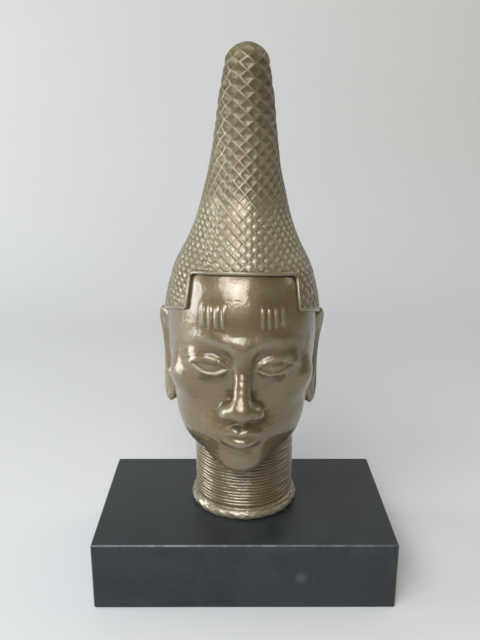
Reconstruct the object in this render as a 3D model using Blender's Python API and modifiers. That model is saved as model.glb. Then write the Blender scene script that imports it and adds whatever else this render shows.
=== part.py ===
"""A cast bronze head of a queen with a tall latticed cap and a ringed collar, on a low plinth.

The head faces -Y and +Z is up. The origin is the middle of the plinth's underside.
"""

import math

import bmesh
import bpy
import numpy as np

# Driving dimensions, in metres
PLINTH_WIDTH = 0.260
PLINTH_DEPTH = 0.155
PLINTH_HEIGHT = 0.062
PLINTH_EDGE = 0.0012
HEAD_HEIGHT = 0.400
FOOT_CLEARANCE = 0.0003

# The head is carved in units: four-hundredths of its own height, with z 0 under its foot.
UNITS_HIGH = 400.0
UNIT = HEAD_HEIGHT / UNITS_HIGH
LEAN = math.radians(0.9)
LEAN_PIVOT_Z = 336.0

# Levels of the face, by thirds between the chin and the edge of the cap
CHIN_Z = 60.0
THIRD = 56.5
NOSE_Z = CHIN_Z + THIRD
BROW_Z = NOSE_Z + THIRD
HAIRLINE_Z = BROW_Z + THIRD
MOUTH_Z = NOSE_Z - THIRD / 3
MOUTH_HALF = 23.0
EYE_Z = BROW_Z - 17.0
EYE_X = 27.0
EYE_HALF = 14.0
EYE_OPEN_ABOVE = 5.6
EYE_OPEN_BELOW = 4.6

# Masses of the skull: the centre and half sizes of each
CRANIUM = ((0, 7, 178), (66, 80, 86))
NAPE = ((0, 22, 130), (56, 56, 44))
MIDDLE = ((0, -6, 138), (61, 61, 72))
JAW = ((0, -19, 98), (51, 46, 39))
CHIN = ((0, -49, 76), (26, 19, 16))
MUZZLE = ((0, -48, 99), (31, 27, 25))
CHEEK = ((37, -38, 141), (22, 20, 17))

# Raised marks on the forehead, on each side of its middle
MARKS = 4
MARK_FIRST_X = 16.0
MARK_PITCH = 5.5
MARK_LOW_Z = 189.5
MARK_HIGH_Z = 201.5
MARK_RADIUS = 1.5
MARK_RISE = 1.1

# Cap: height, half width, front and back of each level section
CAP_SECTIONS = (
    (205.0, 64.0, -64.0, 84.0),
    (228.0, 56.4, -60.0, 79.0),
    (245.0, 48.2, -53.0, 71.0),
    (262.0, 41.1, -46.0, 62.0),
    (281.0, 35.8, -39.0, 52.0),
    (305.0, 29.8, -32.0, 39.0),
    (334.0, 25.2, -28.5, 26.0),
    (361.0, 21.6, -28.0, 16.0),
    (383.0, 17.6, -26.5, 8.5),
)
DOME_Z = CAP_SECTIONS[-1][0]
DOME_HEIGHT = UNITS_HIGH - DOME_Z
CAP_FITS_BELOW_Z = 262.0
CAP_FITS_FULLY_Z = 236.0
CAP_THICKNESS = 2.4
CAP_FADE_HEIGHT = 14.0
CAP_FADE_DEPTH = 8.0
NAPE_Z = 112.0

# Opening of the cap: a straight edge over the forehead, a step at each end, then down to the ears
OPENING_HALF = 44.0
OPENING_SPLAY = 0.10
FRONT_EDGE_Y = -61.0
FRONT_EDGE_SLOPE = 0.20
SIDE_EDGE_Z = 201.0
SIDE_EDGE_Y = -55.0
SIDE_EDGE_SLOPE = 0.30
BEHIND_EAR_Y = 16.0
CUTTER_FRONT_Y = -130.0
CUTTER_FLOOR_Z = 95.0
CUTTER_HALF = 90.0

# Lattice of crossing strands on the cap
ROW_STEP = 5.4
TIP_CELLS = 2
TOP_CELL = 13.5
TOP_CELL_Z = 372.0
BOTTOM_CELL = 11.0
BOTTOM_CELL_Z = 285.0
FRONT_SHARE = 0.74
CROWDED_BELOW_Z = 310.0
STRAND_RISE = 1.1

# Collar of stacked rings, above a flange and a rolled band
NECK_Y = 8.5
COLLAR_RADIUS = 46.0
RINGS = 29
RING_PITCH = 2.95
RING_DEPTH = 1.0
RINGS_FROM_Z = 11.5
FLANGE_RADIUS = 47.8
BAND_RADIUS = 4.2
BAND_MIDDLE = 46.3

# Ears: level and half size of the outline, and how far out the rim stands at its two ends
EAR_Y = 4.0
EAR_Z = 141.0
EAR_HALF_HEIGHT = 44.0
EAR_HALF_DEPTH = 17.0
EAR_TOP_X = 77.0
EAR_BOTTOM_X = 69.2
EAR_FRONT_X = 60.5
EAR_ROOT_X = 50.0

# Fineness of the solids
FACE_COLUMNS = 48
FACE_ROWS = 42
FRONT_CROWDING = 0.50
LEVEL_CROWDING = 0.58
FACE_CENTRE = (0.0, -5.0, 120.0)
CASTING_START = 150.0
LATHE_STEPS = 21
EAR_RINGS = 5
EAR_SPOKES = 16


def clear_scene():
    """Remove every object from the scene."""
    for thing in list(bpy.data.objects):
        bpy.data.objects.remove(thing)


# Soft shapes: each function gives the distance of points from a surface, below 0 inside it


def ramp(value, low, high):
    """Rise smoothly from 0 at low to 1 at high."""
    share = np.clip((value - low) / (high - low), 0, 1)
    return share * share * (3 - 2 * share)


def bump(value, width):
    """A bell curve about 0."""
    return np.exp(-((value / width) ** 2))


def ellipsoid(points, centre, radii, power=2.0):
    """An ellipsoid, squarer where the power is over 2."""
    share = (points - np.array(centre)) / np.array(radii)
    if power == 2.0:
        length = np.linalg.norm(share, axis=-1)
        slope = np.linalg.norm(share / np.array(radii), axis=-1)
        return length * (length - 1) / np.maximum(slope, 1e-9)
    length = (np.abs(share) ** power).sum(-1) ** (1 / power)
    return (length - 1) * min(radii)


def limb(points, start, end, start_radius, end_radius):
    """A rounded rod that tapers from one radius to the other."""
    start, end = np.array(start, float), np.array(end, float)
    along = end - start
    share = np.clip(((points - start) @ along) / (along @ along), 0, 1)
    radius = start_radius + (end_radius - start_radius) * share
    return np.linalg.norm(points - start - share[..., None] * along, axis=-1) - radius


def chain(points, stops, radii):
    """Rods that follow each other through the stops."""
    rods = [limb(points, *ends) for ends in zip(stops, stops[1:], radii, radii[1:])]
    return np.minimum.reduce(rods)


def bowed_rod(points, half_width, depth, height, radius):
    """A rod from side to side whose depth, height and radius are functions of the share outwards."""
    x = np.abs(points[..., 0])
    share = np.clip(x / half_width, 0, 1)
    past = np.maximum(x - half_width, 0)
    across = np.hypot(points[..., 1] - depth(share), points[..., 2] - height(share))
    return np.hypot(across, past) - radius(share)


def join(one, other, blend):
    """Join two shapes with a fillet about as wide as the blend."""
    share = np.clip(0.5 + 0.5 * (other - one) / blend, 0, 1)
    return other * (1 - share) + one * share - blend * share * (1 - share)


def carve(body, tool, blend):
    """Take a shape out of another, with a soft edge."""
    return -join(-body, tool, blend)


def skull(points):
    """The head without its features, which the cap fits."""
    points = mirrored(points)
    body = join(ellipsoid(points, *CRANIUM), ellipsoid(points, *NAPE), 12)
    body = join(body, ellipsoid(points, *MIDDLE, 2.3), 12)
    body = join(body, ellipsoid(points, *JAW), 14)
    body = join(body, ellipsoid(points, *CHIN), 12)
    body = join(body, ellipsoid(points, *MUZZLE), 10)
    return join(body, ellipsoid(points, *CHEEK), 12)


def mirrored(points):
    """Fold both sides of the head on to the side at +X."""
    folded = points.copy()
    folded[..., 0] = np.abs(folded[..., 0])
    return folded


def brow(points, body):
    """A low arch over each eye, and the socket under it."""
    arch = bowed_rod(
        points,
        54.0,
        lambda share: -69 + 33 * share**2.3,
        lambda share: BROW_Z - 1.5 + 8 * ramp(share, 0, 0.5) - 11 * share**2,
        lambda share: 4.8 - 7.0 * share**2,
    )
    body = join(body, arch, 10)
    socket = ellipsoid(points, (EYE_X, -82, EYE_Z + 1.5), (21, 16, 12.5))
    return carve(body, socket, 10)


def eye(points):
    """An eyeball between two lids, with a crease above and a low round iris."""
    across, up = points[..., 0] - EYE_X, points[..., 2] - EYE_Z
    turned = points - 0.25 * across[..., None] * np.array([0, 1, 0])
    share = across / EYE_HALF
    upper = EYE_OPEN_ABOVE * (1 - share**2) + 0.9 * share
    lower = -EYE_OPEN_BELOW * (1 - share**2) + 0.9 * share
    outside = np.maximum(up - upper, lower - up) / np.sqrt(1 + (0.75 * share) ** 2)
    lid = 1.9 * ramp(outside, -0.9, 0.9) + 0.7 * bump(outside - 1.5, 1.1)
    crease = 0.8 * bump(outside - 5.4, 1.2) * ramp(up, 0, 4)
    iris = 0.45 * ramp(-np.hypot(across, up - 0.5), -5.4, -4.4)
    return ellipsoid(turned, (EYE_X, -55.5, EYE_Z), (18.5, 14, 13.5)) - lid + crease - iris


def nose(points, body):
    """Bridge, tip, wings and nostrils, set on the body."""
    bridge = [(0, -68, 172), (0, -73, 152), (0, -81, 128)]
    body = join(body, chain(points, bridge, [5.5, 6.0, 8.0]), 9)
    body = join(body, ellipsoid(points, (0, -82.5, 123), (11, 9.8, 8.8)), 6)
    wing = ellipsoid(points, (11.5, -75.5, 120.5), (7.0, 9.5, 7.0))
    body = join(body, wing, 6.5)
    return carve(body, ellipsoid(points, (6.4, -81.5, 112.2), (4.2, 6.5, 4.2)), 3.0)


def mouth(points, body):
    """Two lips that meet in a line, the groove above them and the hollow below."""
    upper = bowed_rod(
        points,
        MOUTH_HALF,
        lambda share: -74.3 + 10.5 * share**2,
        lambda share: MOUTH_Z + 3.3 + 1.5 * bump(share - 0.28, 0.25) - 3.0 * share**2,
        lambda share: 1.0 + 3.3 * (1 - share**2),
    )
    lower = bowed_rod(
        points,
        MOUTH_HALF - 1,
        lambda share: -73.2 + 10.0 * share**2,
        lambda share: MOUTH_Z - 4.9 + 4.6 * share**2,
        lambda share: 0.9 + 4.3 * (1 - share**2),
    )
    hollow = limb(points, (0, -76, MOUTH_Z - 13.5), (9, -74, MOUTH_Z - 12.5), 3.5, 3.0)
    body = carve(body, hollow, 7)
    body = join(body, join(upper, lower, 0.8), 3.0)
    return carve(body, limb(points, (0, -78.0, 112.5), (0, -79.5, 106), 1.8, 2.2), 4.0)


def forehead_marks(points, body):
    """Short upright bars, raised from the forehead."""
    flat = points.copy()
    flat[..., 1] = 0
    for number in range(MARKS):
        x = MARK_FIRST_X + MARK_PITCH * number
        bar = limb(flat, (x, 0, MARK_LOW_Z), (x, 0, MARK_HIGH_Z), MARK_RADIUS, MARK_RADIUS)
        body = body - MARK_RISE * ramp(-bar, -0.8, 0.9) * (points[..., 1] < 0)
    return body


def face(points):
    """The whole bare head: skull, brow, eyes, nose, mouth, chin and marks."""
    points = mirrored(points)
    body = brow(points, skull(points))
    body = join(body, eye(points), 5)
    body = nose(points, body)
    body = mouth(points, body)
    body = join(body, ellipsoid(points, (0, -60, 71), (15, 10, 9.5)), 10)
    return forehead_marks(points, body)


def cast(field, origin, way, start):
    """Move points along their ways, from outside, to a shape's surface, or to the origin past it."""
    reach = np.full(way.shape[:-1], float(start))
    for _ in range(70):
        reach = np.maximum(reach - 0.7 * field(origin + reach[..., None] * way), 0)
    return origin + reach[..., None] * way


def crowded(share, crowding):
    """Draw evenly spread shares from -1 to 1 towards 0."""
    return crowding * share + (1 - crowding) * share**3


# Mesh helpers


def placed(points):
    """Lean points of the head about a pivot in the cap, and turn units into metres."""
    above = points[..., 2] - LEAN_PIVOT_Z
    x = points[..., 0] * math.cos(LEAN) + above * math.sin(LEAN)
    z = above * math.cos(LEAN) - points[..., 0] * math.sin(LEAN) + LEAN_PIVOT_Z
    return np.stack([x, points[..., 1], z], -1) * UNIT


def add_object(name, mesh, collection):
    """Put a mesh into the scene as part of the head."""
    thing = bpy.data.objects.new(name, mesh)
    collection.objects.link(thing)
    thing.location = (0, 0, PLINTH_HEIGHT + FOOT_CLEARANCE)
    return thing


def mesh_from_points(name, points, faces):
    """Make a mesh of points in units and a list of faces."""
    mesh = bpy.data.meshes.new(name)
    mesh.from_pydata([tuple(point) for point in placed(np.array(points))], [], faces)
    mesh.update()
    return mesh


def mesh_from_bmesh(name, shape):
    """Make a mesh of a bmesh whose vertices are in units."""
    points = placed(np.array([vertex.co[:] for vertex in shape.verts]))
    for vertex, point in zip(shape.verts, points):
        vertex.co = point
    mesh = bpy.data.meshes.new(name)
    shape.to_mesh(mesh)
    shape.free()
    return mesh


# Parts of the head


def face_mesh():
    """A sphere whose vertices are crowded to the front and moved out on to the face."""
    shape = bmesh.new()
    bmesh.ops.create_uvsphere(shape, u_segments=FACE_COLUMNS, v_segments=FACE_ROWS, radius=1)
    way = np.array([vertex.co[:] for vertex in shape.verts])
    turn = np.arctan2(way[:, 0], -way[:, 1]) / math.pi
    rise = np.arcsin(np.clip(way[:, 2], -1, 1)) / (math.pi / 2)
    turn = crowded(turn, FRONT_CROWDING) * math.pi
    rise = crowded(rise, LEVEL_CROWDING) * math.pi / 2
    way = np.stack([np.sin(turn) * np.cos(rise), -np.cos(turn) * np.cos(rise), np.sin(rise)], -1)
    points = cast(face, np.array(FACE_CENTRE), way, CASTING_START)
    for vertex, point in zip(shape.verts, points):
        vertex.co = point
    return mesh_from_bmesh("face", shape)


def section_value(z, column):
    """Read one column of the cap's sections at any height, along a smooth curve."""
    levels = np.array([section[0] for section in CAP_SECTIONS])
    values = np.array([section[column] for section in CAP_SECTIONS])
    slopes = np.gradient(values, levels)
    z = np.clip(z, levels[0], levels[-1])
    below = np.clip(np.searchsorted(levels, z, side="right") - 1, 0, len(levels) - 2)
    span = levels[below + 1] - levels[below]
    share = (z - levels[below]) / span
    start = (2 * share**3 - 3 * share**2 + 1) * values[below]
    start += (share**3 - 2 * share**2 + share) * span * slopes[below]
    end = (3 * share**2 - 2 * share**3) * values[below + 1]
    return start + end + (share**3 - share**2) * span * slopes[below + 1]


def cap_axis(turn, z):
    """The middle of the cap at a height, and the level direction of a turn from the front."""
    middle = (section_value(z, 2) + section_value(z, 3)) / 2
    origin = np.stack([np.zeros_like(z), middle, z], -1)
    return origin, np.stack([np.sin(turn), -np.cos(turn), np.zeros_like(z)], -1)


def cap_reach(turn, z):
    """How far the cap's surface is from its middle: sections above, and the skull's fit below."""
    half_width = section_value(z, 1)
    half_depth = (section_value(z, 3) - section_value(z, 2)) / 2
    reach = 1 / np.hypot(np.sin(turn) / half_width, np.cos(turn) / half_depth)
    low = z < CAP_FITS_BELOW_Z
    if low.any():
        origin, way = cap_axis(turn[low], z[low])
        fit = np.linalg.norm(cast(skull, origin, way, 105) - origin, axis=-1) + CAP_THICKNESS
        lowest = CAP_SECTIONS[0][0]
        above = reach[low] - CAP_FADE_DEPTH * ramp(-z[low], -lowest - CAP_FADE_HEIGHT, -lowest)
        both = -join(-fit, -above, 5)
        share = ramp(z[low], CAP_FITS_BELOW_Z, CAP_FITS_FULLY_Z)
        reach[low] = reach[low] * (1 - share) + both * share
    return reach


def cap_point(turn, z, rise=0.0, climb=0.0):
    """A point of the cap, where climb is the angle up the dome and rise stands off the surface."""
    turn, z, rise, climb = np.broadcast_arrays(*np.atleast_1d(turn, z, rise, climb))
    turn, z = turn.astype(float), z.astype(float)
    origin, way = cap_axis(turn, z)
    reach = (cap_reach(turn, z) + rise) * np.cos(climb)
    point = origin + way * reach[..., None]
    point[..., 2] += (DOME_HEIGHT + rise) * np.sin(climb)
    return point


def front_line():
    """Length down the cap's front, with the height, the climb and the reach there."""
    climb = np.concatenate([np.linspace(math.pi / 2, 0, 40), np.zeros(500)])
    z = np.concatenate([np.full(40, DOME_Z), np.linspace(DOME_Z, NAPE_Z, 501)[1:]])
    points = cap_point(0.0, z, climb=climb)
    reach = cap_reach(np.zeros_like(z), z) * np.cos(climb)
    steps = np.linalg.norm(np.diff(points, axis=0), axis=-1)
    return np.concatenate([[0], np.cumsum(steps)]), z, climb, reach


def lattice_crowding(z):
    """How evenly the lattice is spread round the cap: fully at the tip, less so lower down."""
    return FRONT_SHARE + (1 - FRONT_SHARE) * ramp(z, CROWDED_BELOW_Z, DOME_Z)


def lattice_rows():
    """Height, climb and number of half cells on each side of every row, from the tip down."""
    length, z, climb, reach = front_line()
    count = round(length[-1] / ROW_STEP)
    rows = []
    cells = 0
    for down in np.linspace(0, length[-1], count + 1):
        level = np.interp(down, length, z)
        share = float(ramp(level, BOTTOM_CELL_Z, TOP_CELL_Z))
        width = BOTTOM_CELL + (TOP_CELL - BOTTOM_CELL) * share
        wanted = 2 * math.pi * lattice_crowding(level) * np.interp(down, length, reach) / width
        if down > 0 and wanted > cells:
            cells = max(cells + 1, TIP_CELLS)
        rows.append((level, np.interp(down, length, climb), cells))
    return rows


def cap_mesh():
    """A loft of rows down from the tip, its strands raised along the diagonals."""
    points = []
    faces = []
    numbers = []
    for row, (level, climb, cells) in enumerate(lattice_rows()):
        places = np.arange(-cells + 1, cells + 1) if cells else np.zeros(1)
        turn = math.pi * crowded(places / max(cells, 1), lattice_crowding(level))
        rise = STRAND_RISE * ((places + row) % 2 == 0)
        numbers.append({int(place): len(points) + k for k, place in enumerate(places)})
        numbers[-1][-cells] = numbers[-1][cells]
        points.extend(cap_point(turn, np.full(len(places), level), rise, climb))
    for row, (upper, lower) in enumerate(zip(numbers, numbers[1:])):
        cells, wider = max(upper), max(lower)
        for place in range(-cells, cells):
            a, b = upper[place], upper[place + 1]
            c, d = lower[place + 1], lower[place]
            if (place + row) % 2 == 0:
                faces += [(a, d, c), (a, c, b)]
            else:
                faces += [(a, d, b), (b, d, c)]
        for place in range(cells, wider):
            faces.append((upper[cells], lower[place], lower[place + 1]))
            faces.append((upper[-cells], lower[-place - 1], lower[-place]))
    last = numbers[-1]
    faces.append([last[place] for place in range(max(last), -max(last), -1)])
    faces = [corners for corners in faces if len(set(corners)) == len(corners)]
    return mesh_from_points("cap", points, faces)


def front_edge_z(y):
    """Height of the cap's front edge at a depth."""
    return HAIRLINE_Z - FRONT_EDGE_SLOPE * (y - FRONT_EDGE_Y)


def side_edge_z(y):
    """Height of the cap's side edges at a depth."""
    return SIDE_EDGE_Z - SIDE_EDGE_SLOPE * (y - SIDE_EDGE_Y)


def wedge(name, half_width, top_z, collection):
    """A cutter with a sloping top and splayed sides, from in front of the face to the ears."""
    shape = bmesh.new()
    bmesh.ops.create_cube(shape, size=2)
    for vertex in shape.verts:
        y = BEHIND_EAR_Y if vertex.co.y > 0 else CUTTER_FRONT_Y
        z = top_z(y) if vertex.co.z > 0 else CUTTER_FLOOR_Z
        width = half_width + OPENING_SPLAY * (HAIRLINE_Z - z)
        vertex.co = (vertex.co.x * width, y, z)
    return hide(add_object(name, mesh_from_bmesh(name, shape), collection))


def hide(cutter):
    """Show an object as a wire guide only."""
    cutter.hide_render = True
    cutter.display_type = "WIRE"
    return cutter


def ear_relief(across, up):
    """How far the ear's front stands out, for places from -1 to 1 within its outline."""
    flare = EAR_BOTTOM_X + (EAR_TOP_X - EAR_BOTTOM_X) * (np.maximum(up + 0.3, 0) / 1.3) ** 2
    front = ramp(-across, -0.75, 0.92)
    plate = flare * (1 - front) + EAR_FRONT_X * front
    behind = ramp(across + 0.9 * np.abs(up - 0.1), -0.25, 0.15)
    rim = 1.6 * bump(np.hypot(across, up) - 0.89, 0.09) * behind
    fold = 1.8 * bump(np.hypot(across + 0.10, (up - 0.12) * 0.85) - 0.47, 0.13) * behind
    bowl = 3.2 * bump(np.hypot((across + 0.12) * 1.2, (up + 0.02) * 0.8), 0.30)
    flap = 1.6 * bump(np.hypot(across + 0.62, (up + 0.02) * 1.3), 0.17)
    lobe = 1.2 * bump(np.hypot(across + 0.05, (up + 0.76)), 0.24)
    return plate + rim + fold + flap + lobe - bowl


def ear_mesh(side):
    """A domed plate with a rolled rim and a lobe, its root sunk into the head."""
    points = []
    faces = []
    for ring in range(1, EAR_RINGS + 1):
        share = ring / EAR_RINGS
        angle = np.arange(EAR_SPOKES) / EAR_SPOKES * 2 * math.pi
        across, up = share * np.cos(angle), share * np.sin(angle)
        x = ear_relief(across, up) - 1.2 * (ring == EAR_RINGS)
        points.extend(ear_place(across, up, x))
    across, up = 0.72 * np.cos(angle), 0.80 * np.sin(angle)
    points.extend(ear_place(across, up, np.full(EAR_SPOKES, EAR_ROOT_X)))
    hub = len(points)
    points.extend(ear_place(np.zeros(1), np.zeros(1), ear_relief(np.zeros(1), np.zeros(1))))
    for ring in range(EAR_RINGS):
        for spoke in range(EAR_SPOKES):
            a, b = ring * EAR_SPOKES + spoke, ring * EAR_SPOKES + (spoke + 1) % EAR_SPOKES
            faces.append((a, a + EAR_SPOKES, b + EAR_SPOKES, b))
    for spoke in range(EAR_SPOKES):
        faces.append((hub, spoke, (spoke + 1) % EAR_SPOKES))
    faces.append(tuple(EAR_RINGS * EAR_SPOKES + spoke for spoke in reversed(range(EAR_SPOKES))))
    points = np.array(points) * np.array([side, 1, 1])
    if side < 0:
        faces = [corners[::-1] for corners in faces]
    return mesh_from_points("ear", points, faces)


def ear_place(across, up, x):
    """Turn places within the ear's outline into points: narrower below, and leaning back."""
    depth = EAR_HALF_DEPTH * (0.80 + 0.20 * up)
    y = EAR_Y + across * depth + 2.5 * up
    return np.stack([x, y, EAR_Z + EAR_HALF_HEIGHT * up], -1)


def collar(collection):
    """The turned neck: stacked rings, a flange and a rolled band, with a flat foot."""
    profile = [(0, RINGS_FROM_Z + RING_PITCH * RINGS)]
    for ring in range(RINGS, 0, -1):
        top = RINGS_FROM_Z + RING_PITCH * ring
        profile.append((COLLAR_RADIUS - RING_DEPTH, top))
        profile.append((COLLAR_RADIUS, top - RING_PITCH / 2))
    profile.append((COLLAR_RADIUS - RING_DEPTH, RINGS_FROM_Z))
    profile.append((FLANGE_RADIUS, RINGS_FROM_Z - 0.6))
    for step in range(6):
        angle = math.radians(60 - 30 * step)
        x = BAND_MIDDLE + BAND_RADIUS * math.cos(angle)
        profile.append((x, BAND_RADIUS * (1 + math.sin(angle))))
    profile.append((0, 0))
    mesh = bpy.data.meshes.new("collar")
    points = [(x * UNIT, 0, z * UNIT) for x, z in profile]
    mesh.from_pydata(points, [(k, k + 1) for k in range(len(points) - 1)], [])
    thing = hide(add_object("collar", mesh, collection))
    thing.location.y = NECK_Y * UNIT
    screw = thing.modifiers.new("turn", "SCREW")
    screw.axis = "Z"
    screw.steps = LATHE_STEPS
    screw.render_steps = LATHE_STEPS
    screw.use_merge_vertices = True
    screw.merge_threshold = 0.0001
    return thing


def use_boolean(thing, other, operation):
    """Cut an object by another, or join it on."""
    modifier = thing.modifiers.new(other.name, "BOOLEAN")
    modifier.operation = operation
    modifier.object = other
    modifier.solver = "EXACT"


def make_head(collection, tools):
    """The bronze head: face, cap, ears and collar joined into one casting."""
    head = add_object("queen_head", face_mesh(), collection)
    cap = hide(add_object("cap", cap_mesh(), tools))
    use_boolean(cap, wedge("brow_cutter", OPENING_HALF, front_edge_z, tools), "DIFFERENCE")
    use_boolean(cap, wedge("side_cutter", CUTTER_HALF, side_edge_z, tools), "DIFFERENCE")
    use_boolean(head, cap, "UNION")
    use_boolean(head, collar(tools), "UNION")
    for side, name in ((1, "ear_right"), (-1, "ear_left")):
        use_boolean(head, hide(add_object(name, ear_mesh(side), tools)), "UNION")
    head.data.materials.append(material("bronze", (0.238, 0.181, 0.102), 0.85, 0.36))


def make_plinth(collection):
    """A rectangular block with eased edges."""
    shape = bmesh.new()
    bmesh.ops.create_cube(shape, size=1)
    bmesh.ops.scale(shape, vec=(PLINTH_WIDTH, PLINTH_DEPTH, PLINTH_HEIGHT), verts=shape.verts)
    mesh = bpy.data.meshes.new("plinth")
    shape.to_mesh(mesh)
    shape.free()
    plinth = bpy.data.objects.new("plinth", mesh)
    plinth.location.z = PLINTH_HEIGHT / 2
    collection.objects.link(plinth)
    bevel = plinth.modifiers.new("eased edges", "BEVEL")
    bevel.width = PLINTH_EDGE
    bevel.segments = 1
    mesh.materials.append(material("plinth_paint", (0.048, 0.054, 0.061), 0.0, 0.42))


def material(name, colour, metallic, roughness):
    """A plain surface of one colour."""
    made = bpy.data.materials.new(name)
    made.use_nodes = True
    shader = made.node_tree.nodes["Principled BSDF"]
    shader.inputs["Base Color"].default_value = (*colour, 1)
    shader.inputs["Metallic"].default_value = metallic
    shader.inputs["Roughness"].default_value = roughness
    return made


def main():
    clear_scene()
    parts = bpy.data.collections.new("bronze_queen_head")
    tools = bpy.data.collections.new("bronze_queen_head_tools")
    bpy.context.scene.collection.children.link(parts)
    bpy.context.scene.collection.children.link(tools)
    make_head(parts, tools)
    make_plinth(parts)


main()
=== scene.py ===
"""The bronze queen head on its painted plinth: fine casting, surfaces, light and camera.

The solid head is replaced by a finer casting of the same form. The plinth's solid stays and is painted.
"""

import math

import bmesh
import bpy
import numpy as np
from mathutils import Matrix, Vector


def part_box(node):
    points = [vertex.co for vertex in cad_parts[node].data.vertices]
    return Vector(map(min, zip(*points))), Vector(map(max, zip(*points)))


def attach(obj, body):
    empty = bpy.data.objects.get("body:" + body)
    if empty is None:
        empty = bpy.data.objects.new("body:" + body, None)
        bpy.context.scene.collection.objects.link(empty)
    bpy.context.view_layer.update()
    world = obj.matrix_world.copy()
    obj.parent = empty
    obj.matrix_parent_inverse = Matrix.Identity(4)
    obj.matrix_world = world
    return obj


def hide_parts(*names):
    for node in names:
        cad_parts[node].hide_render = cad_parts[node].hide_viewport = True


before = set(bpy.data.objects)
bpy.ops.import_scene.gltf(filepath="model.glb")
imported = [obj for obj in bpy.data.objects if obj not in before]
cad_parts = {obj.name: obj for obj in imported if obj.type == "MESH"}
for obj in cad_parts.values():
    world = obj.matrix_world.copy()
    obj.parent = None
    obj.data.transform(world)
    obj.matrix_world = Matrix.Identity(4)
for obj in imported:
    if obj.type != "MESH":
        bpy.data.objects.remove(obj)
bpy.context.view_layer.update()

# The head is carved in units: four-hundredths of its own height, with z 0 under its foot.
UNITS_HIGH = 400.0
LEAN = math.radians(0.9)
LEAN_PIVOT_Z = 336.0

# Levels of the face, by thirds between the chin and the edge of the cap
CHIN_Z = 60.0
THIRD = 56.5
NOSE_Z = CHIN_Z + THIRD
BROW_Z = NOSE_Z + THIRD
HAIRLINE_Z = BROW_Z + THIRD
MOUTH_Z = NOSE_Z - THIRD / 3
MOUTH_HALF = 23.0
EYE_Z = BROW_Z - 17.0
EYE_X = 27.0
EYE_HALF = 14.0
EYE_OPEN_ABOVE = 5.6
EYE_OPEN_BELOW = 4.6
EYE_CORNER_RISE = 0.9
BROW_HALF = 54.0
BROW_SOFTNESS = 10

# Masses of the skull: the centre and half sizes of each
CRANIUM = ((0, 7, 178), (66, 80, 86))
NAPE = ((0, 22, 130), (56, 56, 44))
MIDDLE = ((0, -6, 138), (61, 61, 72))
JAW = ((0, -19, 98), (51, 46, 39))
CHIN = ((0, -49, 76), (26, 19, 16))
MUZZLE = ((0, -48, 99), (31, 27, 25))
CHEEK = ((37, -38, 141), (22, 20, 17))
MIDDLE_SQUARENESS = 2.3

# Masses of the features in the same way, and the stops and radii of the nose's bridge
SOCKET = ((EYE_X, -82, EYE_Z + 1.5), (21, 16, 12.5))
EYEBALL = ((EYE_X, -55.5, EYE_Z), (18.5, 14, 13.5))
NOSE_TIP = ((0, -82.5, 123), (11, 9.8, 8.8))
NOSE_WING = ((11.5, -75.5, 120.5), (7.0, 9.5, 7.0))
NOSTRIL = ((6.4, -81.5, 112.2), (4.2, 6.5, 4.2))
CHIN_TIP = ((0, -60, 71), (15, 10, 9.5))
BRIDGE = ((0, -68, 172), (0, -73, 152), (0, -81, 128))
BRIDGE_RADII = (5.5, 6.0, 8.0)

# Raised marks on the forehead, on each side of its middle
MARKS = 4
MARK_FIRST_X = 16.0
MARK_PITCH = 5.5
MARK_LOW_Z = 189.5
MARK_HIGH_Z = 201.5
MARK_RADIUS = 1.5
MARK_RISE = 1.1

# Cap: height, half width, front and back of each level section
CAP_SECTIONS = (
    (205.0, 64.0, -64.0, 84.0),
    (228.0, 56.4, -60.0, 79.0),
    (245.0, 48.2, -53.0, 71.0),
    (262.0, 41.1, -46.0, 62.0),
    (281.0, 35.8, -39.0, 52.0),
    (305.0, 29.8, -32.0, 39.0),
    (334.0, 25.2, -28.5, 26.0),
    (361.0, 21.6, -28.0, 16.0),
    (383.0, 17.6, -26.5, 8.5),
)
HALF_WIDTH, FRONT, BACK = 1, 2, 3
DOME_Z = CAP_SECTIONS[-1][0]
DOME_HEIGHT = UNITS_HIGH - DOME_Z
CAP_FITS_BELOW_Z = 262.0
CAP_FITS_FULLY_Z = 236.0
CAP_FIT_SOFTNESS = 5
CAP_THICKNESS = 2.4
CAP_FADE_HEIGHT = 14.0
CAP_FADE_DEPTH = 8.0
NAPE_Z = 112.0

# Opening of the cap: a straight edge over the forehead, a step at each end, then down to the ears
OPENING_HALF = 44.0
OPENING_SPLAY = 0.10
FRONT_EDGE_Y = -61.0
FRONT_EDGE_SLOPE = 0.20
SIDE_EDGE_Z = 201.0
SIDE_EDGE_Y = -55.0
SIDE_EDGE_SLOPE = 0.30
BEHIND_EAR_Y = 16.0
CUTTER_FRONT_Y = -130.0
CUTTER_FLOOR_Z = 95.0
CUTTER_HALF = 90.0
BORDER_RADIUS = 1.65
BORDER_SUNK = 0.5
BORDER_SPACING = 2.2
BORDER_SIDES = 10
BORDER_SMOOTHINGS = 3
BORDER_MIDDLE_Y = 10.0
NAPE_STOPS = 49

# Search for the cap's surface along its edge
SEARCH_FROM_X = 66.0
SEARCH_FROM_Y = -50.0
SEARCH_ROUNDS = 14

# Lattice of crossing strands: level and width of its cells, its rows, and the spread of the front
CELL_WIDTHS = ((230.0, 10.0), (262.0, 9.4), (290.0, 9.5), (305.0, 10.2), (324.0, 12.0), (372.0, 13.8))
LOW_ROW_STEP = 4.4
HIGH_ROW_STEP = 5.2
LOW_ROWS_BELOW_Z = 235.0
HIGH_ROWS_ABOVE_Z = 290.0
TIP_CELLS = 2
FRONT_SHARE = 0.86
CROWDED_BELOW_Z = 310.0
LINE_STEPS = 600
DOME_STEPS = 60

# Front and back of the lattice, which meet under a cord on each side
FRONT_TURN = math.radians(108)
BACK_CELLS_WIDER = 1.35
CORD_HALF = 1.7

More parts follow.
